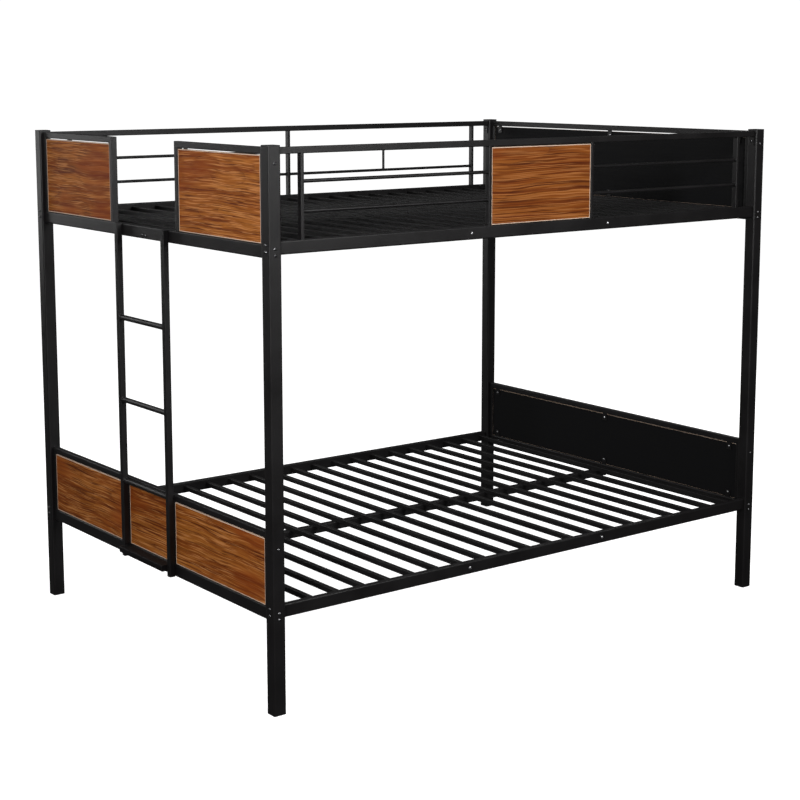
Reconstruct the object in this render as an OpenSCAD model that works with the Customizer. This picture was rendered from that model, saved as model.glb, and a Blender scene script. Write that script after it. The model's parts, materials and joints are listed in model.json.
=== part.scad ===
// Metal-frame bunk bed with wooden panels and a ladder bolted to its foot end.
// Every sub-part is drawn from the foot/front corner: X along the bed, Y across it, Z up.
// in_frame() then moves it so that the origin is on the floor, under the middle of the box.

/* [Overall] */
// Length over the posts
bed_l = 1990; // [1840:5:2150]
// Width over the posts
bed_w = 1424; // [1300:2:1600]
// Height to the top of the post caps
bed_h = 1595; // [1585:1:1700]
// Height of the lower side rails' top edge
lower_rail_top = 317; // [250:1:340]
// Rise from the lower deck to the upper deck
deck_rise = 1019; // [980:1:1025]

/* [Frame] */
// Width of the square posts
post_w = 40; // [36:1:50]
// Height of the side and end rails
rail_h = 38; // [34:1:44]
// Thickness of the side and end rails
rail_t = 20; // [18:1:24]
// Height of the end rails' top edge below that of the side rails
end_rail_drop = 10; // [8:1:12]
// Wall of the posts and rails
heavy_wall = 1.2; // [1:0.1:2]
// Side of the square tubes in the end frames, guard rails and ladder
tube_w = 19; // [16:1:19]
// Wall of the small tubes
light_wall = 1; // [0.8:0.1:1.5]

/* [Decks] */
// Width of the centre rails
centre_w = 24; // [20:1:28]
// Height of the centre rails
centre_h = 27; // [24:1:29]
// Side of the square slats
slat_w = 16; // [13:1:17]
// Depth of the notches in a centre rail that the slats lie in
slat_notch = 3; // [2:0.5:4]
// Number of slats in one deck
slat_count = 21; // [13:2:21]
// Distance between neighbouring slats
slat_pitch = 92.5; // [60:0.5:92.5]
// Slats between the middle one and each screwed one
screwed_slat = 3; // [1:1:5]

/* [End frames] */
// Width of each framed panel at the two sides of the ladder gap
foot_frame_w = 481; // [400:1:520]
// Height of the lower end frames' top edge
lower_frame_top = 523; // [480:1:600]
// Height of the upper end frames' and guards' top edge
upper_frame_top = 1589; // [1560:1:1589]

/* [Panels] */
// Thickness of the wooden panels
panel_t = 13; // [10:1:14]
// Gap beside and below a panel
panel_gap = 1.5; // [1:0.5:4]
// Gap above a panel
panel_top_gap = 3.5; // [2:0.5:6]
// Length of the panel in the middle of the front guard
guard_panel_l = 402; // [300:2:500]

/* [Guards] */
// Distance of the guards' end uprights from the posts' outer faces
guard_end = 112; // [90:1:200]
// Thickness of the guards' flat uprights
upright_t = 10.5; // [9:0.5:12]
// Diameter of the guards' rods
rod_d = 10.5; // [8:0.5:12]
// Height of the upper rods
upper_rod_z = 1494.5; // [1480:0.5:1510]
// Height of the lower rods
lower_rod_z = 1412; // [1395:0.5:1425]

/* [Ladder] */
// Distance between the outer faces of the two stiles
ladder_w = 305; // [300:1:360]
// Diameter of the round rungs
rung_d = 17; // [15:1:18]
// Rise from one rung to the next
rung_rise = 260; // [240:1:260]
// Height of the lowest round rung
first_rung_z = 514; // [480:1:540]
// Height of the flat bottom step's upper face
step_top = 305.5; // [300:0.5:306]

/* [Fasteners] */
// Diameter of the bolts' shanks
bolt_d = 6; // [5:0.5:6]
// Diameter of the bolts' heads
bolt_head_d = 10; // [9:0.5:11]
// Height of the bolts' heads
bolt_head_h = 2.5; // [2:0.5:3]
// Diameter of the panel screws' shanks
screw_d = 4; // [3:0.5:4]

/* [Hidden] */
$fn = 32;

steel = "#26262a";
plastic = "#111113";
timber = "#7a4a2e";
metal = "#b8b8bc";

// Room left around a plug or plate inside a tube, and around a bolt in its hole
fit = 0.1;
clearance = 0.2;
// Extra length that makes a cut run past a face
eps = 1;

// Corner radii of the sections
post_r = 4.5;
rail_r = 4;
centre_r = 3;
tube_r = 2.5;
upright_r = 2;
slat_r = 1.5;
panel_r = 2;

slat_wall = 0.9;
rung_wall = 1.5;
cap_t = 3;
stile_cap_t = 1.5;
plug_depth = 18;
end_plate_t = 4;
step_end_t = 2;
flange_w = 32;
flange_t = 3;
guard_plate_t = 3;
guard_plate_h = 30;
peg_l = 16;
socket_d = 3.8;
socket_depth = 1.4;
thread_past_plate = 8;
screw_head_h = 2;

post_mid = post_w / 2;
rail_in = (post_w - rail_t) / 2;
rail_out = rail_in + rail_t;
tube_in = (post_w - tube_w) / 2;
bay_l = bed_l - 2 * post_w;
bay_w = bed_w - 2 * post_w;

// Heights on the lower deck; the upper deck is the same, deck_rise higher
rail_z = lower_rail_top - rail_h;
end_rail_z = rail_z - end_rail_drop;
end_rail_top = end_rail_z + rail_h;
slat_z = rail_z + 11;
slat_mid_z = slat_z + slat_w / 2;
centre_z = slat_z + slat_notch - centre_h;
rail_mid_z = rail_z + rail_h / 2;
end_rail_mid_z = end_rail_z + rail_h / 2;
lower_frame_z = lower_frame_top - tube_w;

upper_end_top = end_rail_top + deck_rise;
upper_rail_top = lower_rail_top + deck_rise;
upper_frame_z = upper_frame_top - tube_w;

slat_reach = (slat_count - 1) / 2;
slat_x = [for (k = [-slat_reach : slat_reach]) bed_l / 2 + k * slat_pitch];
screw_x = [for (s = [-1, 1]) bed_l / 2 + s * screwed_slat * slat_pitch];
peg_d = slat_w - 2 * slat_wall - 2 * fit;

stile_x = rail_in - tube_w;
front_stile_y = (bed_w - ladder_w) / 2;
back_stile_y = bed_w - front_stile_y - tube_w;
rung_x = stile_x + tube_w / 2;
rung_y = front_stile_y + tube_w;
rung_l = ladder_w - 2 * tube_w;
step_x = rail_in - rail_h;

frame_inner_y = post_w + foot_frame_w;
panel_in = tube_in + 2.5;
tab_in = panel_in + panel_t;
tab_t = 2.5;
tab_w = 20;
tab_h = 26;
side_tab_h = 20;
side_tab_inset = 34;
side_tab_z = [upper_end_top + side_tab_inset, upper_frame_z - side_tab_inset];
guard_tab_z = [upper_rail_top + side_tab_inset, upper_frame_z - side_tab_inset];
screw_above_rail = 19;
screw_below_tube = 15;
end_tab_y = 92;
free_end_tab = 20;

first_panel_y = post_w + tube_w + panel_gap;
foot_upper_y2 = frame_inner_y - tube_w - panel_gap;
foot_lower_y2 = front_stile_y - panel_gap;
foot_middle_y1 = rung_y + panel_gap;

foot_upper_tab_y = frame_inner_y - tube_w - panel_gap - free_end_tab;
foot_lower_tab_y = [
    end_tab_y, foot_lower_y2 - free_end_tab, foot_middle_y1 + free_end_tab,
    bed_w - foot_middle_y1 - free_end_tab, bed_w - foot_lower_y2 + free_end_tab,
    bed_w - end_tab_y
];
head_tab_y = [end_tab_y, bed_w / 2, bed_w - end_tab_y];

panel_upright_x = (bed_l - guard_panel_l) / 2 - panel_gap - upright_t;
guard_panel_x = (bed_l - guard_panel_l) / 2;
back_mid_x = (bed_l - upright_t) / 2;
rod_z = [lower_rod_z, upper_rod_z];
spindle_d = rod_d - 1;
spindle_x = (guard_end + upright_t + back_mid_x) / 2;

side_bolt_gap = 20;
end_bolt_gap = 18;
centre_bolt_gap = 18;
frame_bolt_drop = 43;
guard_bolt_z = upper_frame_z - guard_plate_h / 2;
hole_d = bolt_d + 2 * clearance;
screw_hole_d = screw_d + 2 * clearance;
screw_l = tab_t + 9;

box_mid_x = (step_x + bed_l + bolt_head_h) / 2;

// Frame and symmetry

module in_frame() {
    translate([-box_mid_x, -bed_w / 2, 0]) children();
}

module at_back() {
    translate([0, bed_w, 0]) mirror([0, 1, 0]) children();
}

module at_head() {
    translate([bed_l, 0, 0]) mirror([1, 0, 0]) children();
}

module at_upper() {
    translate([0, 0, deck_rise]) children();
}

module at_both_sides() {
    children();
    at_back() children();
}

module at_both_ends() {
    children();
    at_head() children();
}

module at_both_decks() {
    children();
    at_upper() children();
}

// Sections, drawn from their corner

module rounded_rect(w, h, r) {
    translate([r, 0]) square([w - 2 * r, h]);
    translate([0, r]) square([w, h - 2 * r]);
    for (x = [r, w - r]) {
        for (y = [r, h - r]) {
            translate([x, y]) circle(r);
        }
    }
}

module tube_section(w, h, r, wall) {
    difference() {
        rounded_rect(w, h, r);
        translate([wall, wall]) rounded_rect(w - 2 * wall, h - 2 * wall, r - wall);
    }
}

// What fits inside a tube's section
module plug_section(w, h, r, wall) {
    inset = wall + fit;
    translate([inset, inset]) rounded_rect(w - 2 * inset, h - 2 * inset, r - inset);
}

module rail_section() {
    tube_section(rail_t, rail_h, rail_r, heavy_wall);
}

module small_section() {
    tube_section(tube_w, tube_w, tube_r, light_wall);
}

module upright_section() {
    tube_section(upright_t, tube_w, upright_r, light_wall);
}

// Sections run along an axis

module along_x(len) {
    rotate([90, 0, 90]) linear_extrude(len) children();
}

module along_y(len) {
    translate([0, len, 0]) rotate([90, 0, 0]) linear_extrude(len) children();
}

module along_z(len) {
    linear_extrude(len) children();
}

// Fasteners: the head rises along +Z from the origin, and the shank runs down

module facing_foot() {
    rotate([0, -90, 0]) children();
}

module facing_head() {
    rotate([0, 90, 0]) children();
}

module facing_front() {
    rotate([90, 0, 0]) children();
}

module facing_back() {
    rotate([-90, 0, 0]) children();
}

module dome_head(d, h) {
    dome_r = (d * d / 4 + h * h) / (2 * h);
    difference() {
        intersection() {
            cylinder(h = h, d = d);
            translate([0, 0, h - dome_r]) sphere(r = dome_r);
        }
        translate([0, 0, h - socket_depth]) cylinder(h = h, d = socket_d, $fn = 6);
    }
}

module shank(d, len) {
    translate([0, 0, -len]) cylinder(h = len, d = d);
}

module bolt(len) {
    dome_head(bolt_head_d, bolt_head_h);
    shank(bolt_d, len);
}

module bolt_hole(len) {
    translate([0, 0, -len]) cylinder(h = len + eps, d = hole_d);
}

module screw_hole(len) {
    translate([0, 0, -len]) cylinder(h = len + eps, d = screw_hole_d);
}

// Where the bolts go

module at_side_rail_bolts() {
    for (s = [-1, 1]) {
        translate([0, post_mid, rail_mid_z + s * side_bolt_gap / 2]) facing_foot() children();
    }
}

module at_end_rail_bolts() {
    for (s = [-1, 1]) {
        translate([post_mid, 0, end_rail_mid_z + s * end_bolt_gap / 2]) {
            facing_front() children();
        }
    }
}

module at_frame_bolts() {
    for (top = [lower_frame_top, upper_frame_top]) {
        translate([post_mid, 0, top - frame_bolt_drop]) facing_front() children();
    }
}

module at_guard_bolt() {
    translate([post_w + guard_plate_t, post_mid, guard_bolt_z]) facing_head() children();
}

module at_centre_rail_bolts() {
    for (s = [-1, 1]) {
        y = bed_w / 2 + s * centre_bolt_gap / 2;
        translate([rail_in, y, centre_z + centre_h / 2]) facing_foot() children();
    }
}

module at_ladder_bolts() {
    for (y = [front_stile_y, back_stile_y]) {
        translate([rail_out, y + tube_w / 2, end_rail_mid_z]) facing_head() children();
    }
}

module at_slat_screws() {
    for (x = screw_x) {
        translate([x, rail_in, slat_mid_z]) facing_front() children();
    }
}

// Posts

module corner_post() {
    difference() {
        translate([0, 0, cap_t]) along_z(bed_h - 2 * cap_t) {
            tube_section(post_w, post_w, post_r, heavy_wall);
        }
        at_both_decks() {
            at_side_rail_bolts() bolt_hole(post_w + eps);
            at_end_rail_bolts() bolt_hole(post_w + eps);
        }
        at_frame_bolts() bolt_hole(post_w + eps);
        at_guard_bolt() bolt_hole(guard_plate_t + 3 * heavy_wall);
    }
}

module foot_front_post() {
    color(steel) in_frame() corner_post();
}

module foot_back_post() {
    color(steel) in_frame() at_back() corner_post();
}

module head_front_post() {
    color(steel) in_frame() at_head() corner_post();
}

module head_back_post() {
    color(steel) in_frame() at_head() at_back() corner_post();
}

// A plate across the post's end, with a plug that fills the tube
module post_plug() {
    along_z(cap_t) rounded_rect(post_w, post_w, post_r);
    along_z(cap_t + plug_depth) plug_section(post_w, post_w, post_r, heavy_wall);
}

module post_feet() {
    color(plastic) in_frame() at_both_ends() at_both_sides() post_plug();
}

module post_caps() {
    color(plastic) in_frame() at_both_ends() at_both_sides() {
        translate([0, 0, bed_h]) mirror([0, 0, 1]) post_plug();
    }
}

// Side and end rails

module side_rail() {
    difference() {
        translate([post_w, rail_in, rail_z]) along_x(bay_l) rail_section();
        at_slat_screws() bolt_hole(rail_t + eps);
    }
}

module end_rail() {
    difference() {
        translate([rail_in, post_w, end_rail_z]) along_y(bay_w) rail_section();
        at_centre_rail_bolts() bolt_hole(rail_t + eps);
    }
}

module ladder_end_rail() {
    difference() {
        end_rail();
        at_ladder_bolts() bolt_hole(rail_t + eps);
    }
}

module lower_front_side_rail() {
    color(steel) in_frame() side_rail();
}

module lower_back_side_rail() {
    color(steel) in_frame() at_back() side_rail();
}

module upper_front_side_rail() {
    color(steel) in_frame() at_upper() side_rail();
}

module upper_back_side_rail() {
    color(steel) in_frame() at_upper() at_back() side_rail();
}

module lower_foot_end_rail() {
    color(steel) in_frame() ladder_end_rail();
}

module upper_foot_end_rail() {
    color(steel) in_frame() at_upper() ladder_end_rail();
}

module lower_head_end_rail() {
    color(steel) in_frame() at_head() end_rail();
}

module upper_head_end_rail() {
    color(steel) in_frame() at_upper() at_head() end_rail();
}

// Threaded plates inside the rails' ends, which the bolts pull on
module rail_end_plates() {
    color(steel) in_frame() at_both_decks() at_both_ends() at_both_sides() {
        difference() {
            translate([post_w, rail_in, rail_z]) along_x(end_plate_t) {
                plug_section(rail_t, rail_h, rail_r, heavy_wall);
            }
            at_side_rail_bolts() bolt_hole(post_w + 2 * end_plate_t);
        }
        difference() {
            translate([rail_in, post_w, end_rail_z]) along_y(end_plate_t) {
                plug_section(rail_t, rail_h, rail_r, heavy_wall);
            }
            at_end_rail_bolts() bolt_hole(post_w + 2 * end_plate_t);
        }
    }
}

// Centre rails, slats and what holds them

module centre_rail() {
    inset = rail_out + flange_t;
    y = (bed_w - centre_w) / 2;
    difference() {
        translate([inset, y, centre_z]) along_x(bed_l - 2 * inset) {
            tube_section(centre_w, centre_h, centre_r, heavy_wall);
        }
        for (x = slat_x) {
            translate([x - slat_w / 2 - fit, y - eps, slat_z]) {
                cube([slat_w + 2 * fit, centre_w + 2 * eps, slat_notch + eps]);
            }
        }
    }
}

module lower_centre_rail() {
    color(steel) in_frame() centre_rail();
}

module upper_centre_rail() {
    color(steel) in_frame() at_upper() centre_rail();
}

module centre_rail_flanges() {
    color(steel) in_frame() at_both_decks() at_both_ends() difference() {
        translate([rail_out, (bed_w - flange_w) / 2, centre_z]) along_x(flange_t) {
            rounded_rect(flange_w, centre_h, centre_r);
        }
        at_centre_rail_bolts() bolt_hole(rail_t + flange_t + eps);
    }
}

module slats() {
    for (x = slat_x) {
        translate([x - slat_w / 2, rail_out, slat_z]) along_y(bed_w - 2 * rail_out) {
            tube_section(slat_w, slat_w, slat_r, slat_wall);
        }
    }
}

module lower_slats() {
    color(steel) in_frame() slats();
}

module upper_slats() {
    color(steel) in_frame() at_upper() slats();
}

module slat_pegs() {
    color(steel) in_frame() at_both_decks() at_both_sides() difference() {
        for (x = slat_x) {
            translate([x, rail_out, slat_mid_z]) facing_back() cylinder(h = peg_l, d = peg_d);
        }
        at_slat_screws() bolt_hole(rail_t + peg_l + eps);
    }
}

// End frames: the tops are square tubes, and the uprights are cut to sit on them

module end_rail_outline(y, len) {
    translate([rail_in, y, end_rail_z]) along_y(len) rounded_rect(rail_t, rail_h, rail_r);
}

module frame_top_outline(y, z, len) {
    translate([tube_in, y, z]) along_y(len) rounded_rect(tube_w, tube_w, tube_r);
}

module frame_top(y, z, len) {
    translate([tube_in, y, z]) along_y(len) small_section();
}

// An upright at y, from the lower end rail to a top tube whose underside is at z
module frame_upright(y, z) {
    foot_z = end_rail_top - rail_r;
    difference() {
        translate([tube_in, y, foot_z]) along_z(z + tube_r - foot_z) small_section();
        end_rail_outline(y - eps, tube_w + 2 * eps);
        frame_top_outline(y - eps, z, tube_w + 2 * eps);
    }
}

// The half above (side 1) or below (side 0) the mitre of a foot frame's free corner
module mitre_half(side) {
    size = 2 * tube_w;
    translate([0, frame_inner_y, upper_frame_top]) rotate([45, 0, 0]) {
        translate([0, -size, (side - 1) * size]) cube([post_w, 2 * size, size]);
    }
}

module foot_frame_top() {
    difference() {
        frame_top(post_w, upper_frame_z, foot_frame_w);
        mitre_half(0);
    }
}

module foot_front_frame_top() {
    color(steel) in_frame() foot_frame_top();
}

module foot_back_frame_top() {
    color(steel) in_frame() at_back() foot_frame_top();
}

module post_side_upright(z) {
    difference() {
        frame_upright(post_w, z);
        at_frame_bolts() bolt_hole(post_w + 2 * light_wall);
        translate([0, 0, -deck_rise]) at_frame_bolts() bolt_hole(post_w + 2 * light_wall);
    }
}

module foot_upper_frame_uprights() {
    y = frame_inner_y - tube_w;
    foot_z = upper_end_top - rail_r;
    color(steel) in_frame() at_both_sides() {
        at_upper() post_side_upright(upper_frame_z - deck_rise);
        difference() {
            translate([tube_in, y, foot_z]) along_z(upper_frame_top - foot_z) small_section();
            at_upper() end_rail_outline(y - eps, tube_w + 2 * eps);
            mitre_half(1);
        }
    }
}

module foot_lower_frame_top() {
    color(steel) in_frame() frame_top(post_w, lower_frame_z, bay_w);
}

module foot_lower_frame_uprights() {
    color(steel) in_frame() at_both_sides() {
        post_side_upright(lower_frame_z);
        frame_upright(front_stile_y, lower_frame_z);
    }
}

module head_lower_frame_top() {
    color(steel) in_frame() at_head() frame_top(post_w, lower_frame_z, bay_w);
}

module head_upper_frame_top() {
    color(steel) in_frame() at_head() frame_top(post_w, upper_frame_z, bay_w);
}

module head_frame_uprights() {
    color(steel) in_frame() at_head() at_both_sides() {
        post_side_upright(lower_frame_z);
        at_upper() post_side_upright(upper_frame_z - deck_rise);
    }
}

// Panels of the end frames, with the tabs and screws that hold them

module end_panel(y1, y2, z1, z2) {
    translate([panel_in, y1, z1]) along_x(panel_t) rounded_rect(y2 - y1, z2 - z1, panel_r);
}

module lower_end_panel(y1, y2) {
    end_panel(y1, y2, end_rail_top + panel_gap, lower_frame_z - panel_top_gap);
}

module upper_end_panel(y1, y2) {
    end_panel(y1, y2, upper_end_top + panel_gap, upper_frame_z - panel_top_gap);
}

module at_panel_screw(y, z) {
    translate([tab_in + tab_t, y, z]) facing_head() children();
}

module at_screw_pair(y, rail_top, tube_z) {
    at_panel_screw(y, rail_top + screw_above_rail) children();
    at_panel_screw(y, tube_z - screw_below_tube) children();
}

module at_foot_lower_screws() {
    for (y = foot_lower_tab_y) {
        at_screw_pair(y, end_rail_top, lower_frame_z) children();
    }
}

module at_foot_upper_screws() {
    at_screw_pair(foot_upper_tab_y, upper_end_top, upper_frame_z) children();
    for (z = side_tab_z) {
        at_panel_screw(first_panel_y + side_tab_h / 2, z) children();
    }
}

module at_head_lower_screws() {
    at_head() {
        for (y = head_tab_y) {
            at_screw_pair(y, end_rail_top, lower_frame_z) children();
        }
    }
}

module at_head_upper_screws() {
    at_head() {
        for (y = head_tab_y) {
            at_screw_pair(y, upper_end_top, upper_frame_z) children();
        }
    }
}

module at_all_panel_screws() {
    at_foot_lower_screws() children();
    at_both_sides() at_foot_upper_screws() children();
    at_head_lower_screws() children();
    at_head_upper_screws() children();
    at_guard_panel_screws() children();
}

module foot_upper_panel() {
    difference() {
        upper_end_panel(first_panel_y, foot_upper_y2);
        at_foot_upper_screws() screw_hole(screw_l + eps);
    }
}

module foot_upper_front_panel() {
    color(timber) in_frame() foot_upper_panel();
}

module foot_upper_back_panel() {
    color(timber) in_frame() at_back() foot_upper_panel();
}

module foot_lower_panel(y1, y2) {
    difference() {
        lower_end_panel(y1, y2);
        at_foot_lower_screws() screw_hole(screw_l + eps);
    }
}

module foot_lower_front_panel() {
    color(timber) in_frame() foot_lower_panel(first_panel_y, foot_lower_y2);
}

module foot_lower_middle_panel() {
    color(timber) in_frame() foot_lower_panel(foot_middle_y1, bed_w - foot_middle_y1);
}

module foot_lower_back_panel() {
    color(timber) in_frame() at_back() foot_lower_panel(first_panel_y, foot_lower_y2);
}

module head_lower_panel() {
    color(timber) in_frame() difference() {
        at_head() lower_end_panel(first_panel_y, bed_w - first_panel_y);
        at_head_lower_screws() screw_hole(screw_l + eps);
    }
}

module head_upper_panel() {
    color(timber) in_frame() difference() {
        at_head() upper_end_panel(first_panel_y, bed_w - first_panel_y);
        at_head_upper_screws() screw_hole(screw_l + eps);
    }
}

// A tab that stands on an end rail and one that hangs from the tube above it
module tab_pair(y, rail_top, tube_z) {
    rail_drop = rail_top - end_rail_top;
    difference() {
        translate([tab_in, y - tab_w / 2, rail_top - rail_r]) cube([tab_t, tab_w, rail_r + tab_h]);
        translate([0, 0, rail_drop]) end_rail_outline(y - tab_w, 2 * tab_w);
    }
    difference() {
        translate([tab_in, y - tab_w / 2, tube_z - tab_h]) cube([tab_t, tab_w, tab_h + tube_r]);
        frame_top_outline(y - tab_w, tube_z, 2 * tab_w);
    }
}

// A tab welded to the side of an upright beside a post
module upright_tab(z) {
    y = post_w + tube_w;
    difference() {
        translate([tab_in, y - tube_r, z - side_tab_h / 2]) {
            cube([tab_t, tube_r + side_tab_h + panel_gap, side_tab_h]);
        }
        translate([tube_in, post_w, z - side_tab_h]) along_z(2 * side_tab_h) {
            rounded_rect(tube_w, tube_w, tube_r);
        }
    }
}

module guard_tab(z) {
    x = panel_upright_x + upright_t;
    difference() {
        translate([x - upright_r, tab_in, z - side_tab_h / 2]) {
            cube([upright_r + side_tab_h + panel_gap, tab_t, side_tab_h]);
        }
        translate([panel_upright_x, tube_in, z - side_tab_h]) along_z(2 * side_tab_h) {
            rounded_rect(upright_t, tube_w, upright_r);
        }
    }
}

module panel_tabs() {
    color(steel) in_frame() difference() {
        union() {
            for (y = foot_lower_tab_y) {
                tab_pair(y, end_rail_top, lower_frame_z);
            }
            at_both_sides() {
                tab_pair(foot_upper_tab_y, upper_end_top, upper_frame_z);
                for (z = side_tab_z) {
                    upright_tab(z);
                }
            }
            at_head() {
                for (y = head_tab_y) {
                    tab_pair(y, end_rail_top, lower_frame_z);
                    tab_pair(y, upper_end_top, upper_frame_z);
                }
            }
            at_both_ends() {
                for (z = guard_tab_z) {
                    guard_tab(z);
                }
            }
        }
        at_all_panel_screws() screw_hole(screw_l);
    }
}

module panel_screws() {
    color(metal) in_frame() at_all_panel_screws() {
        dome_head(2 * screw_d, screw_head_h);
        shank(screw_d, screw_l);
    }
}

// Guards: the uprights are cut to sit on the side rail and against the top rail

module guard_top_rail() {
    translate([post_w, tube_in, upper_frame_z]) along_x(bay_l) small_section();
}

module guard_upright(x) {
    foot_z = upper_rail_top - rail_r;
    difference() {
        translate([x, tube_in, foot_z]) along_z(upper_frame_z + tube_r - foot_z) upright_section();
        translate([x - eps, rail_in, upper_rail_top - rail_h]) along_x(upright_t + 2 * eps) {
            rounded_rect(rail_t, rail_h, rail_r);
        }
        translate([x - eps, tube_in, upper_frame_z]) along_x(upright_t + 2 * eps) {
            rounded_rect(tube_w, tube_w, tube_r);
        }
    }
}

module guard_rod(x1, x2, z, d) {
    translate([x1, post_mid, z]) facing_head() cylinder(h = x2 - x1, d = d);
}

module front_guard_top_rail() {
    color(steel) in_frame() guard_top_rail();
}

module back_guard_top_rail() {
    color(steel) in_frame() at_back() guard_top_rail();
}

module front_guard_uprights() {
    color(steel) in_frame() at_both_ends() {
        guard_upright(guard_end);
        guard_upright(panel_upright_x);
    }
}

module back_guard_uprights() {
    color(steel) in_frame() at_back() {
        at_both_ends() guard_upright(guard_end);
        guard_upright(back_mid_x);
    }
}

module front_guard_rods() {
    color(steel) in_frame() at_both_ends() {
        for (z = rod_z) {
            guard_rod(guard_end + upright_t, panel_upright_x, z, rod_d);
        }
    }
}

module back_guard_rods() {
    color(steel) in_frame() at_back() at_both_ends() {
        for (z = rod_z) {
            guard_rod(guard_end + upright_t, back_mid_x, z, rod_d);
        }
    }
}

module back_guard_spindles() {
    color(steel) in_frame() at_back() at_both_ends() difference() {
        translate([spindle_x, post_mid, lower_rod_z]) {
            cylinder(h = upper_rod_z - lower_rod_z, d = spindle_d);
        }
        for (z = rod_z) {
            guard_rod(spindle_x - rod_d, spindle_x + rod_d, z, rod_d);
        }
    }
}

module at_guard_panel_screws() {
    at_both_ends() {
        for (z = guard_tab_z) {
            x = guard_panel_x + side_tab_h / 2;
            translate([x, tab_in + tab_t, z]) facing_back() children();
        }
    }
}

module front_guard_panel() {
    z1 = upper_rail_top + panel_gap;
    z2 = upper_frame_z - panel_top_gap;
    color(timber) in_frame() difference() {
        translate([guard_panel_x, panel_in, z1]) along_y(panel_t) {
            rounded_rect(guard_panel_l, z2 - z1, panel_r);
        }
        at_guard_panel_screws() screw_hole(screw_l + eps);
    }
}

// Plates under the ends of the guards' top rails, flat on the posts
module guard_end_plates() {
    color(steel) in_frame() at_both_ends() at_both_sides() difference() {
        translate([post_w, tube_in, upper_frame_z - guard_plate_h]) {
            cube([guard_plate_t, tube_w, guard_plate_h]);
        }
        at_guard_bolt() bolt_hole(guard_plate_t + eps);
    }
}

// Ladder

module ladder_stile(y) {
    difference() {
        translate([stile_x, y, end_rail_z + stile_cap_t]) {
            along_z(upper_end_top - end_rail_z - 2 * stile_cap_t) small_section();
        }
        at_both_decks() at_ladder_bolts() bolt_hole(rail_t + 3 * light_wall);
    }
}

module ladder_front_stile() {
    color(steel) in_frame() ladder_stile(front_stile_y);
}

module ladder_back_stile() {
    color(steel) in_frame() ladder_stile(back_stile_y);
}

module ladder_rungs() {
    color(steel) in_frame() for (i = [0 : 2]) {
        translate([rung_x, rung_y, first_rung_z + i * rung_rise]) facing_back() {
            linear_extrude(rung_l) difference() {
                circle(d = rung_d);
                circle(d = rung_d - 2 * rung_wall);
            }
        }
    }
}

// Rail stock laid flat, with its ends closed
module ladder_bottom_step() {
    color(steel) in_frame() translate([step_x, rung_y + step_end_t, step_top - rail_t]) {
        along_y(rung_l - 2 * step_end_t) tube_section(rail_h, rail_t, rail_r, heavy_wall);
    }
}

module ladder_step_ends() {
    color(steel) in_frame() at_both_sides() translate([step_x, rung_y, step_top - rail_t]) {
        along_y(step_end_t) rounded_rect(rail_h, rail_t, rail_r);
    }
}

module stile_plug() {
    along_z(stile_cap_t) rounded_rect(tube_w, tube_w, tube_r);
    along_z(stile_cap_t + plug_depth / 2) plug_section(tube_w, tube_w, tube_r, light_wall);
}

module ladder_plugs() {
    color(plastic) in_frame() for (y = [front_stile_y, back_stile_y]) {
        translate([stile_x, y, end_rail_z]) stile_plug();
        translate([stile_x, y, upper_end_top]) mirror([0, 0, 1]) stile_plug();
    }
}

// Bolts

module side_rail_bolts() {
    color(metal) in_frame() at_both_decks() at_both_ends() at_both_sides() {
        at_side_rail_bolts() bolt(post_w + end_plate_t + thread_past_plate);
    }
}

module end_rail_bolts() {
    color(metal) in_frame() at_both_decks() at_both_ends() at_both_sides() {
        at_end_rail_bolts() bolt(post_w + end_plate_t + thread_past_plate);
    }
}

module frame_bolts() {
    color(metal) in_frame() at_both_ends() at_both_sides() {
        at_frame_bolts() bolt(post_w + light_wall + thread_past_plate);
    }
}

module guard_bolts() {
    color(metal) in_frame() at_both_ends() at_both_sides() {
        at_guard_bolt() bolt(guard_plate_t + thread_past_plate);
    }
}

module centre_rail_bolts() {
    color(metal) in_frame() at_both_decks() at_both_ends() {
        at_centre_rail_bolts() bolt(rail_t + flange_t);
    }
}

module ladder_bolts() {
    color(metal) in_frame() at_both_decks() {
        at_ladder_bolts() bolt(rail_t + light_wall + thread_past_plate);
    }
}

module slat_screws() {
    color(metal) in_frame() at_both_decks() at_both_sides() {
        at_slat_screws() bolt(rail_t + peg_l);
    }
}

foot_front_post();
foot_back_post();
head_front_post();
head_back_post();
post_caps();
post_feet();
upper_front_side_rail();
upper_back_side_rail();
lower_front_side_rail();
lower_back_side_rail();
upper_foot_end_rail();
upper_head_end_rail();
lower_foot_end_rail();
lower_head_end_rail();
rail_end_plates();
upper_centre_rail();
lower_centre_rail();
centre_rail_flanges();
upper_slats();
lower_slats();
slat_pegs();
foot_front_frame_top();
foot_back_frame_top();
foot_upper_frame_uprights();
foot_lower_frame_top();
foot_lower_frame_uprights();
head_upper_frame_top();
head_lower_frame_top();
head_frame_uprights();
foot_upper_front_panel();
foot_upper_back_panel();
foot_lower_front_panel();
foot_lower_middle_panel();
foot_lower_back_panel();
head_upper_panel();
head_lower_panel();
panel_tabs();
front_guard_top_rail();
front_guard_uprights();
front_guard_rods();
front_guard_panel();
back_guard_top_rail();
back_guard_uprights();
back_guard_rods();
back_guard_spindles();
guard_end_plates();
ladder_front_stile();
ladder_back_stile();
ladder_rungs();
ladder_bottom_step();
ladder_step_ends();
ladder_plugs();
side_rail_bolts();
end_rail_bolts();
frame_bolts();
guard_bolts();
centre_rail_bolts();
ladder_bolts();
slat_screws();
panel_screws();
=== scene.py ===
"""Bunk bed with ladder: black powder-coated tube, walnut boards and bolts, in a white studio.

Every CAD node stays, with a better material. Two kinds of piece are added: the strip around each
board's edge, and the weld beads of the rungs, rods and spindles. All lengths are in metres, in the
part's frame: +X from the ladder to the head end, +Y from the front guard to the back, +Z up.
"""

import json
import math
from typing import NamedTuple

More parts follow.
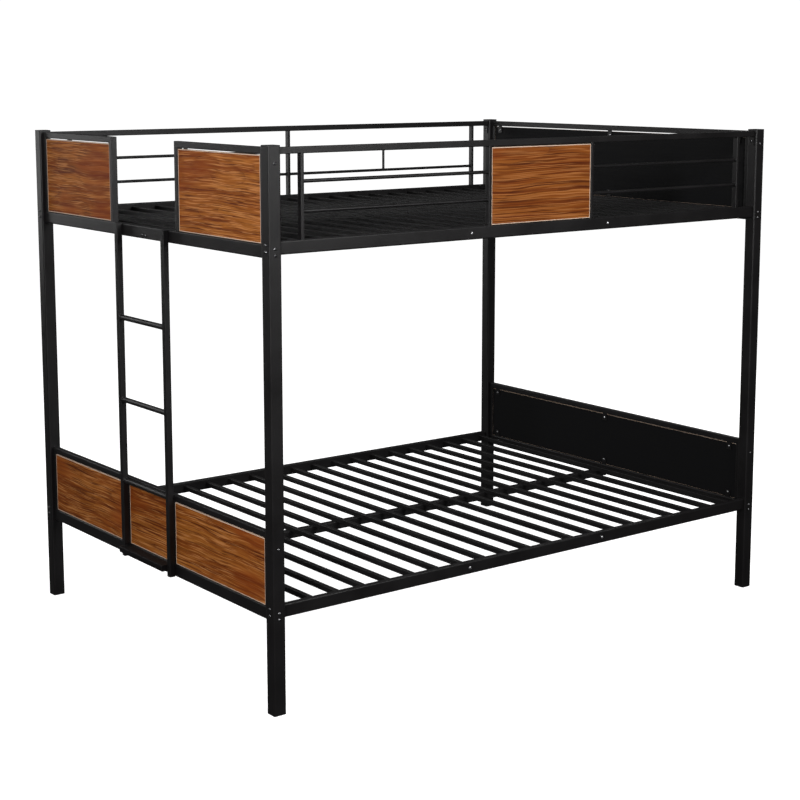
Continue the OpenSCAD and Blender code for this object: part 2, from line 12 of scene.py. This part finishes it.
import bmesh
import bpy
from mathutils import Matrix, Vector


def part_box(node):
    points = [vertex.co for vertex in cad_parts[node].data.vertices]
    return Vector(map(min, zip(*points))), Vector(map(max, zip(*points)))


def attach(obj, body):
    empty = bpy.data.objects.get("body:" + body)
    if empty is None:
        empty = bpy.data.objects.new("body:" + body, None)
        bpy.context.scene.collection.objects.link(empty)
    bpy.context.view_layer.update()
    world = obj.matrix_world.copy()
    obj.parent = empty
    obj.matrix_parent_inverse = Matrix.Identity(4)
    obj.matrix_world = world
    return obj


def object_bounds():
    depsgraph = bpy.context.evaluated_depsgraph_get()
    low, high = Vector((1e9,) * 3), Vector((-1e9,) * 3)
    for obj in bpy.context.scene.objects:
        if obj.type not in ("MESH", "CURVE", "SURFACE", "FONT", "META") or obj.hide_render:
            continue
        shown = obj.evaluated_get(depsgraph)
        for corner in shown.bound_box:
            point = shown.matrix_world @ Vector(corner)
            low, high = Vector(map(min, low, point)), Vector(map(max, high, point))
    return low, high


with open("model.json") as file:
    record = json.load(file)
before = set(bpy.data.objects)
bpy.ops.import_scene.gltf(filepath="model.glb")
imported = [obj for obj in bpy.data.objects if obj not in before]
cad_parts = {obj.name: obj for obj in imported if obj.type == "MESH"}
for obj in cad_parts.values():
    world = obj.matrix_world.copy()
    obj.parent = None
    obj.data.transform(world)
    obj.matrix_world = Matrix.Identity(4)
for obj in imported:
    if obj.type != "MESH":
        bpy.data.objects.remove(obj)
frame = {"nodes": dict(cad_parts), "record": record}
cad_low, cad_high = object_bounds()

X_AXIS, Y_AXIS, Z_AXIS = 0, 1, 2


# Camera: lens and sensor in millimetres, shifts in widths of the frame

LENS = 75.53
SENSOR = 36.0
CAMERA_AT = Vector((-3.426, -4.488, 1.798))
PITCH = math.radians(-8.53)
YAW = math.radians(-37.47)
SHIFT_X = -0.0031
SHIFT_Y = -0.1


# Finishes. Colours are linear, and a share of gloss of 0.5 is that of common plastic.


class Noise(NamedTuple):
    """Features per metre, octaves of finer detail, and how strong they are."""

    scale: float
    detail: float
    rough: float


class Finish(NamedTuple):
    """Two mottled colours, uneven gloss and fine bumps."""

    dark: tuple
    light: tuple
    cloud: Noise  # for the colour
    grain: Noise  # for the bumps
    roughness: tuple  # at the low and the high end of the gloss noise
    bump_depth: float
    bump_strength: float
    specular: float = 0.5
    metallic: float = 0.0
    gloss_from_grain: bool = False
    gloss_span: tuple = (0.3, 0.7)


COLOUR_SPAN = (0.3, 0.7)

POWDER_COAT = Finish(
    dark=(0.0030, 0.0026, 0.0028),
    light=(0.0050, 0.0045, 0.0048),
    cloud=Noise(7.0, 4.0, 0.6),
    grain=Noise(620.0, 2.0, 0.55),
    roughness=(0.35, 0.46),
    bump_depth=0.00012,
    bump_strength=0.6,
    specular=0.30,
    gloss_span=(0.25, 0.75),
)
DECK_COAT = POWDER_COAT._replace(roughness=(0.40, 0.51))
TREAD_COAT = POWDER_COAT._replace(roughness=(0.57, 0.68), specular=0.08)

MOULDED_PLASTIC = Finish(
    dark=(0.005, 0.005, 0.0055),
    light=(0.008, 0.008, 0.0085),
    cloud=Noise(20.0, 3.0, 0.5),
    grain=Noise(900.0, 2.0, 0.6),
    roughness=(0.5, 0.62),
    bump_depth=0.0001,
    bump_strength=0.8,
    specular=0.30,
    gloss_from_grain=True,
)

PLATED_STEEL = Finish(
    dark=(0.30, 0.30, 0.31),
    light=(0.48, 0.48, 0.49),
    cloud=Noise(260.0, 4.0, 0.6),
    grain=Noise(260.0, 4.0, 0.6),
    roughness=(0.25, 0.40),
    bump_depth=0.00005,
    bump_strength=0.5,
    metallic=1.0,
)

BLACK_FASTENER = Finish(
    dark=(0.07, 0.07, 0.072),
    light=(0.13, 0.13, 0.135),
    cloud=Noise(300.0, 3.0, 0.6),
    grain=Noise(300.0, 3.0, 0.6),
    roughness=(0.24, 0.34),
    bump_depth=0.00005,
    bump_strength=0.5,
    metallic=1.0,
)

EDGE_STRIP = Finish(
    dark=(0.42, 0.30, 0.22),
    light=(0.56, 0.43, 0.34),
    cloud=Noise(60.0, 3.0, 0.6),
    grain=Noise(700.0, 2.0, 0.6),
    roughness=(0.40, 0.52),
    bump_depth=0.0001,
    bump_strength=0.5,
    specular=0.08,
)


# Walnut boards


class Board(NamedTuple):
    """How the boards of one part of the bed lie, what sets their wood apart, and any painted shade
    on them.
    """

    name: str
    along: int  # axis of the grain
    outward: tuple  # where the wooden face looks
    streaks: float  # per metre along the grain
    # multiplies the wood's colour: a slight tint, and on the front guard mostly painted shade that
    # darkens its boards
    tint_and_painted_shade: tuple


BOARDS = {
    "foot": Board("walnut_foot", Y_AXIS, (-1, 0, 0), 5.0, (1.0, 0.98, 0.92)),
    "head": Board("walnut_head", Y_AXIS, (1, 0, 0), 4.0, (1.0, 0.98, 0.92)),
    # the front guard's boards are darkened by painted shade, with a little less blue as tint
    "front": Board("walnut_guard", X_AXIS, (0, -1, 0), 3.0, (0.70, 0.63, 0.52)),
}


class Streaks(NamedTuple):
    """Noise drawn out along the grain."""

    along: float  # features per streak of the board
    across: float  # features per metre
    detail: float
    rough: float


RING_STREAKS = Streaks(0.3, 8.0, 1.0, 0.45)
FINE_STREAKS = Streaks(1.0, 235.0, 3.0, 0.65)
BROAD_STREAKS = Streaks(0.6, 80.0, 2.0, 0.6)
PALE_STREAKS = Streaks(1.69, 351.0, 2.0, 0.55)
TONE_STREAKS = Streaks(0.6, 9.0, 2.0, 0.5)
RINGS_PER_RANGE = 12.0

# The grain wanders up and down by this much, with so many turns per metre along and across it
DRIFT_REACH = 0.006
DRIFT_ALONG = 4.0
DRIFT_ACROSS = 6.0
DRIFT_NOISE = Noise(1.0, 1.0, 0.5)
DRIFT_SPAN = (0.25, 0.75)

WOOD_DARK = (0.056, 0.010, 0.0015)
WOOD_PALE = (0.440, 0.185, 0.062)
WOOD_BODY = [
    (0.32, (0.150, 0.034, 0.005)),
    (0.46, (0.195, 0.052, 0.008)),
    (0.54, (0.240, 0.072, 0.012)),
    (0.68, (0.290, 0.098, 0.020)),
]
WOOD_TINT = [
    (0.34, (0.84, 0.66, 0.60)),
    (0.46, (1.0, 1.0, 1.0)),
    (0.66, (1.04, 1.12, 1.10)),
]
BOARD_BACK = (0.004, 0.004, 0.0043)

# From and to noise values, then the strengths that they give
CALM_WHERE_DARK = (0.38, 0.46, 0.25, 1.0)
LATE_WOOD = (0.6, 0.95, 0.0, 0.65)
LATE_WOOD_BREAKS = (0.35, 0.6, 1.0, 0.2)
DARK_LINES = (0.485, 0.41, 0.0, 0.78)
PALE_LINES = (0.54, 0.62, 0.0, 0.75)
WOOD_ROUGHNESS = (0.3, 0.7, 0.55, 0.68)
BACK_FACE = (-0.6, -0.5, 1.0, 0.0)

WOOD_SPECULAR = 0.08
WOOD_BUMP_DEPTH = 0.0004
WOOD_BUMP_STRENGTH = 0.4


# Strip around a board: its width on the face, thickness and outer corner

STRIP_W = 0.0022
STRIP_T = 0.0003
STRIP_R = 0.0010
STRIP_CORNER = [math.radians(turn) for turn in (90, 60, 30, 0)]
STRIP_SHARP = math.radians(50)


# Weld beads: so many ripples round each, by this share of its thickness

BEAD_R = 0.0017
BEAD_STEPS = 28
BEAD_SIDES = 8
RIPPLES = 9
RIPPLE = 0.16

# A bar's corners are closer together than SAME_END at each end. Where they lie further apart than
# PAIR_GAP along the bar, they are the ends of two bars on the two sides of one tube.
SAME_END = 0.03
PAIR_GAP = 0.005


# Studio


class Softbox(NamedTuple):
    name: str
    at: tuple
    aim: tuple
    width: float
    height: float
    watts: float


FOOT_TOP = (cad_low.x, 0.0, cad_high.z)
MIDDLE = (0.0, 0.0, 1.0)
SOFTBOXES = [
    Softbox("key", (-3.9, -2.6, 2.3), FOOT_TOP, 0.5, 1.2, 172),
    Softbox("front", (0.4, -4.5, 2.7), FOOT_TOP, 2.0, 2.0, 175),
    Softbox("left_back", (-3.9, 3.2, 2.6), FOOT_TOP, 1.5, 1.5, 22),
    Softbox("right", (4.6, 0.8, 1.8), MIDDLE, 2.0, 2.0, 60),
    Softbox("back", (-1.4, 4.8, 1.8), MIDDLE, 2.0, 2.0, 45),
]
SUN_STRENGTH = 1.2
SUN_WIDTH = math.radians(60)
SKY_SEEN = 1.05
SKY_FELT = 0.06
WHITE = (1, 1, 1, 1)

FLOOR_SIZE = 60.0
FLOOR_CLOUD = Noise(0.6, 3.0, 0.5)
FLOOR_DARK = (0.58, 0.58, 0.58)
FLOOR_LIGHT = (0.62, 0.62, 0.62)
FLOOR_ROUGHNESS = 0.9
FLOOR_SPECULAR = 0.1
FLOOR_GLOW = 0.80


# Node building


def new_material(name):
    mat = bpy.data.materials.new(name)
    mat.use_nodes = True
    return mat, mat.node_tree, mat.node_tree.nodes["Principled BSDF"]


def add(tree, kind, values=None, **settings):
    """A node with its settings and input values."""
    node = tree.nodes.new(kind)
    for key, value in settings.items():
        setattr(node, key, value)
    for key, value in (values or {}).items():
        put(tree, node.inputs[key], value)
    return node


def put(tree, socket, value):
    """Links a value that is a socket, and sets any other."""
    if isinstance(value, bpy.types.NodeSocket):
        tree.links.new(value, socket)
    else:
        socket.default_value = value


def ramp(tree, factor, stops):
    """A colour ramp with (position, colour) stops."""
    node = add(tree, "ShaderNodeValToRGB", {"Fac": factor})
    marks = node.color_ramp.elements
    while len(marks) < len(stops):
        marks.new(0.5)
    for mark, (at, colour) in zip(marks, stops):
        mark.position = at
        mark.color = (*colour, 1)
    return node.outputs["Color"]


def two_tone(tree, factor, dark, light):
    low, high = COLOUR_SPAN
    return ramp(tree, factor, [(low, dark), (high, light)])


def remap(tree, value, low, high, to_low, to_high):
    values = {
        "Value": value,
        "From Min": low,
        "From Max": high,
        "To Min": to_low,
        "To Max": to_high,
    }
    return add(tree, "ShaderNodeMapRange", values).outputs["Result"]


def multiply(tree, a, b):
    return add(tree, "ShaderNodeMath", {0: a, 1: b}, operation="MULTIPLY").outputs["Value"]


def mix_colour(tree, factor, a, b, blend="MIX"):
    node = add(tree, "ShaderNodeMix", data_type="RGBA", blend_type=blend)
    put(tree, node.inputs["Factor"], factor)
    put(tree, node.inputs["A"], a)
    put(tree, node.inputs["B"], b)
    return node.outputs["Result"]


def place(tree, scale=(1, 1, 1)):
    """Object coordinates, which are the part's own metres, stretched by scale along each axis."""
    coord = add(tree, "ShaderNodeTexCoord")
    node = add(tree, "ShaderNodeMapping", {"Vector": coord.outputs["Object"], "Scale": scale})
    return node.outputs["Vector"]


def noise(tree, where, spec):
    values = {
        "Vector": where,
        "Scale": spec.scale,
        "Detail": spec.detail,
        "Roughness": spec.rough,
    }
    return add(tree, "ShaderNodeTexNoise", values).outputs["Fac"]


def bump(tree, bsdf, height, depth, strength):
    values = {"Height": height, "Distance": depth, "Strength": strength}
    put(tree, bsdf.inputs["Normal"], add(tree, "ShaderNodeBump", values).outputs["Normal"])


# Materials


def mottled(name, finish):
    mat, tree, bsdf = new_material(name)
    where = place(tree)
    cloud = noise(tree, where, finish.cloud)
    grain = noise(tree, where, finish.grain)
    gloss = grain if finish.gloss_from_grain else cloud
    put(tree, bsdf.inputs["Base Color"], two_tone(tree, cloud, finish.dark, finish.light))
    rough = remap(tree, gloss, *finish.gloss_span, *finish.roughness)
    put(tree, bsdf.inputs["Roughness"], rough)
    bsdf.inputs["Specular IOR Level"].default_value = finish.specular
    bsdf.inputs["Metallic"].default_value = finish.metallic
    bump(tree, bsdf, grain, finish.bump_depth, finish.bump_strength)
    return mat


def stretch(along, per_metre_along, per_metre_across):
    scale = [per_metre_across] * 3
    scale[along] = per_metre_along
    return scale


def drift(tree, board):
    """A vector that moves the grain up and down."""
    where = place(tree, stretch(board.along, DRIFT_ALONG, DRIFT_ACROSS))
    wander = noise(tree, where, DRIFT_NOISE)
    up = remap(tree, wander, *DRIFT_SPAN, -DRIFT_REACH, DRIFT_REACH)
    return add(tree, "ShaderNodeCombineXYZ", {"Z": up}).outputs["Vector"]


def streaked(tree, board, warp, spec):
    """Noise drawn out along the board's grain and moved by warp."""
    where = add(tree, "ShaderNodeVectorMath", {0: place(tree), 1: warp}, operation="ADD")
    scale = stretch(board.along, spec.along * board.streaks, spec.across)
    values = {"Vector": where.outputs["Vector"], "Scale": scale}
    mapped = add(tree, "ShaderNodeMapping", values).outputs["Vector"]
    return noise(tree, mapped, Noise(1.0, spec.detail, spec.rough))


def walnut(board):
    """Reddish-brown wood with dark and pale streaks, and black on the board's back."""
    mat, tree, bsdf = new_material(board.name)
    warp = drift(tree, board)
    contour = streaked(tree, board, warp, RING_STREAKS)
    fine = streaked(tree, board, warp, FINE_STREAKS)
    broad = streaked(tree, board, warp, BROAD_STREAKS)
    pale = streaked(tree, board, warp, PALE_STREAKS)
    tone = streaked(tree, board, warp, TONE_STREAKS)

    tint = ramp(tree, tone, WOOD_TINT)
    colour = mix_colour(tree, 1.0, ramp(tree, broad, WOOD_BODY), tint, "MULTIPLY")

    calm = remap(tree, tone, *CALM_WHERE_DARK)
    turns = multiply(tree, contour, RINGS_PER_RANGE)
    rings = add(tree, "ShaderNodeMath", {0: turns}, operation="FRACT").outputs["Value"]
    late_wood = multiply(tree, remap(tree, rings, *LATE_WOOD), calm)
    late_wood = multiply(tree, late_wood, remap(tree, fine, *LATE_WOOD_BREAKS))
    dark_line = multiply(tree, remap(tree, fine, *DARK_LINES), calm)
    pale_line = multiply(tree, remap(tree, pale, *PALE_LINES), calm)
    colour = mix_colour(tree, late_wood, colour, (*WOOD_DARK, 1))
    colour = mix_colour(tree, dark_line, colour, (*WOOD_DARK, 1))
    colour = mix_colour(tree, pale_line, colour, (*WOOD_PALE, 1))
    # a slight tint, and on the front guard painted shade
    colour = mix_colour(tree, 1.0, colour, (*board.tint_and_painted_shade, 1), "MULTIPLY")

    normal = add(tree, "ShaderNodeTexCoord").outputs["Normal"]
    values = {0: normal, 1: board.outward}
    facing = add(tree, "ShaderNodeVectorMath", values, operation="DOT_PRODUCT").outputs["Value"]
    colour = mix_colour(tree, remap(tree, facing, *BACK_FACE), colour, (*BOARD_BACK, 1))

    put(tree, bsdf.inputs["Base Color"], colour)
    put(tree, bsdf.inputs["Roughness"], remap(tree, fine, *WOOD_ROUGHNESS))
    bsdf.inputs["Specular IOR Level"].default_value = WOOD_SPECULAR
    bump(tree, bsdf, fine, WOOD_BUMP_DEPTH, WOOD_BUMP_STRENGTH)
    return mat


STEEL = mottled("powder_coat", POWDER_COAT)
TREAD = mottled("tread_coat", TREAD_COAT)
BOLT = mottled("black_fastener", BLACK_FASTENER)
STRIP = mottled("edge_strip", EDGE_STRIP)
WOOD = {place_name: walnut(board) for place_name, board in BOARDS.items()}
BY_SLOT = {
    "black_steel": STEEL,
    "deck_steel": mottled("deck_coat", DECK_COAT),
    "black_plastic": mottled("moulded_plastic", MOULDED_PLASTIC),
    "hardware_steel": mottled("plated_steel", PLATED_STEEL),
}


def board_place(node):
    """The key in BOARDS for a board, which its name starts with."""
    return node.split("_")[0]


def material_of(node, slot):
    if node.endswith("_bolts"):
        return BOLT
    if node == "ladder_bottom_step":
        return TREAD
    if slot == "wood_panel":
        return WOOD[board_place(node)]
    return BY_SLOT[slot]


# New pieces


def bridge(bm, rings):
    """Smooth faces from each ring of vertices to the next, and from the last to the first."""
    for ring, after in zip(rings, rings[1:] + rings[:1]):
        for k in range(len(ring)):
            j = (k + 1) % len(ring)
            bm.faces.new((ring[k], ring[j], after[j], after[k])).smooth = True


def add_piece(name, bm, material):
    bmesh.ops.recalc_face_normals(bm, faces=bm.faces)
    mesh = bpy.data.meshes.new(name)
    bm.to_mesh(mesh)
    bm.free()
    mesh.materials.append(material)
    piece = bpy.data.objects.new(name, mesh)
    bpy.context.scene.collection.objects.link(piece)
    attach(piece, "root")
    return mesh


def strip_profile(depth):
    """Outward and forward distances from the board's front edge, from the face to the side."""
    centre = STRIP_T - STRIP_R
    corner = [
        (centre + STRIP_R * math.cos(turn), centre + STRIP_R * math.sin(turn))
        for turn in STRIP_CORNER
    ]
    face = [(-STRIP_W, 0.0), (-STRIP_W + STRIP_T, STRIP_T)]
    return [*face, *corner, (STRIP_T, -depth), (0.0, -depth)]


def board_strip(node, outward):
    """A ring with a round outer corner, lying on the board's face and side."""
    low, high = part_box(node)
    axis = X_AXIS if outward[X_AXIS] else Y_AXIS
    across = Y_AXIS if outward[X_AXIS] else X_AXIS
    side = outward[axis]
    front = (high if side > 0 else low)[axis]
    bm = bmesh.new()
    rings = []
    for u_side, v_side in ((-1, -1), (1, -1), (1, 1), (-1, 1)):
        ring = []
        for out, forward in strip_profile(high[axis] - low[axis]):
            at = Vector()
            at[axis] = front + side * forward
            at[across] = (high if u_side > 0 else low)[across] + u_side * out
            at[Z_AXIS] = (high if v_side > 0 else low)[Z_AXIS] + v_side * out
            ring.append(bm.verts.new(at))
        rings.append(ring)
    bridge(bm, rings)
    mesh = add_piece(node + "_strip", bm, STRIP)
    mesh.set_sharp_from_angle(angle=STRIP_SHARP)


def spans(values, gap):
    """The lowest and highest value of each group of values that lie closer together than gap."""
    values = sorted(values)
    groups = [[values[0], values[0]]]
    for value in values[1:]:
        if value - groups[-1][1] > gap:
            groups.append([value, value])
        groups[-1][1] = value
    return groups


def bar_ends(node):
    """The lowest and highest corners around each end, or pair of facing ends, of the bars."""
    boxes = [[tuple(vertex.co) for vertex in frame["nodes"][node].data.vertices]]
    for axis in (X_AXIS, Y_AXIS, Z_AXIS):
        boxes = [
            [point for point in box if low <= point[axis] <= high]
            for box in boxes
            for low, high in spans([point[axis] for point in box], SAME_END)
        ]
    corners = []
    for box in boxes:
        columns = list(zip(*box))
        corners.append((Vector([min(c) for c in columns]), Vector([max(c) for c in columns])))
    return corners


def bead(bm, centre, axis, radius, phase):
    """A rippled ring around a bar that runs along axis."""
    side, up = (axis + 1) % 3, (axis + 2) % 3
    rings = []
    for step in range(BEAD_STEPS):
        turn = math.tau * step / BEAD_STEPS
        thick = BEAD_R * (1 + RIPPLE * math.sin(RIPPLES * turn + phase))
        ring = []
        for k in range(BEAD_SIDES):
            bend = math.tau * k / BEAD_SIDES
            out = radius + thick * math.cos(bend)
            at = centre.copy()
            at[axis] += thick * math.sin(bend)
            at[side] += out * math.cos(turn)
            at[up] += out * math.sin(turn)
            ring.append(bm.verts.new(at))
        rings.append(ring)
    bridge(bm, rings)


def welds(node, axis):
    """Beads where the bars of a node, which run along axis, meet the tubes that they end on."""
    bm = bmesh.new()
    across = Z_AXIS if axis != Z_AXIS else X_AXIS
    for count, (low, high) in enumerate(bar_ends(node)):
        radius = (high[across] - low[across]) / 2
        middle = (low + high) / 2
        is_pair = high[axis] - low[axis] > PAIR_GAP
        for end in (low[axis], high[axis]) if is_pair else (middle[axis],):
            centre = middle.copy()
            centre[axis] = end
            bead(bm, centre, axis, radius, count)
    add_piece(node + "_welds", bm, STEEL)


# Studio


def studio_floor():
    """A lit white sheet, left out of the reflections so that the black coat stays black."""
    bpy.ops.mesh.primitive_plane_add(size=FLOOR_SIZE, location=(0, 0, 0))
    floor = bpy.context.object
    floor.name = "studio_floor"
    mat, tree, bsdf = new_material("studio_white")
    cloud = noise(tree, place(tree), FLOOR_CLOUD)
    put(tree, bsdf.inputs["Base Color"], two_tone(tree, cloud, FLOOR_DARK, FLOOR_LIGHT))
    bsdf.inputs["Roughness"].default_value = FLOOR_ROUGHNESS
    bsdf.inputs["Specular IOR Level"].default_value = FLOOR_SPECULAR
    bsdf.inputs["Emission Color"].default_value = WHITE
    bsdf.inputs["Emission Strength"].default_value = FLOOR_GLOW
    floor.data.materials.append(mat)
    floor.visible_glossy = False
    floor.visible_diffuse = False


def add_light(name, kind):
    light = bpy.data.lights.new(name, kind)
    lamp = bpy.data.objects.new(name, light)
    bpy.context.scene.collection.objects.link(lamp)
    return light, lamp


def softbox(box):
    light, lamp = add_light(box.name, "AREA")
    light.shape = "RECTANGLE"
    light.size = box.width
    light.size_y = box.height
    light.energy = box.watts
    lamp.location = box.at
    towards = Vector(box.aim) - Vector(box.at)
    lamp.rotation_euler = towards.to_track_quat("-Z", "Y").to_euler()


def sun():
    """From straight above: it whitens the floor and gives soft shadows around the feet."""
    light, _ = add_light("sun", "SUN")
    light.energy = SUN_STRENGTH
    light.angle = SUN_WIDTH


def sky():
    """White where the camera sees it, and dimmer as a source of light."""
    world = bpy.data.worlds.new("studio_sky")
    world.use_nodes = True
    tree = world.node_tree
    back = tree.nodes["Background"]
    back.inputs["Color"].default_value = WHITE
    seen = add(tree, "ShaderNodeLightPath").outputs["Is Camera Ray"]
    put(tree, back.inputs["Strength"], remap(tree, seen, 0.0, 1.0, SKY_FELT, SKY_SEEN))
    bpy.context.scene.world = world


def camera():
    """At the photo's viewing angle, with a small shift: it looks down for the rest of the way."""
    data = bpy.data.cameras.new("camera")
    data.lens = LENS
    data.sensor_width = SENSOR
    data.shift_x = SHIFT_X
    data.shift_y = SHIFT_Y
    cam = bpy.data.objects.new("camera", data)
    cam.location = CAMERA_AT
    cam.rotation_euler = (math.pi / 2 + PITCH, 0, YAW)
    bpy.context.scene.collection.objects.link(cam)
    bpy.context.scene.camera = cam


for entry in frame["record"]["subparts"]:
    node, slot = entry["node"], entry["material_slot"]
    cad = frame["nodes"][node]
    cad.data.materials.clear()
    cad.data.materials.append(material_of(node, slot))
    if slot == "wood_panel":
        board_strip(node, BOARDS[board_place(node)].outward)

welds("ladder_rungs", Y_AXIS)
welds("front_guard_rods", X_AXIS)
welds("back_guard_rods", X_AXIS)
welds("back_guard_spindles", Z_AXIS)

studio_floor()
sky()
sun()
for box in SOFTBOXES:
    softbox(box)
camera()
bpy.context.scene.view_settings.view_transform = "Standard"
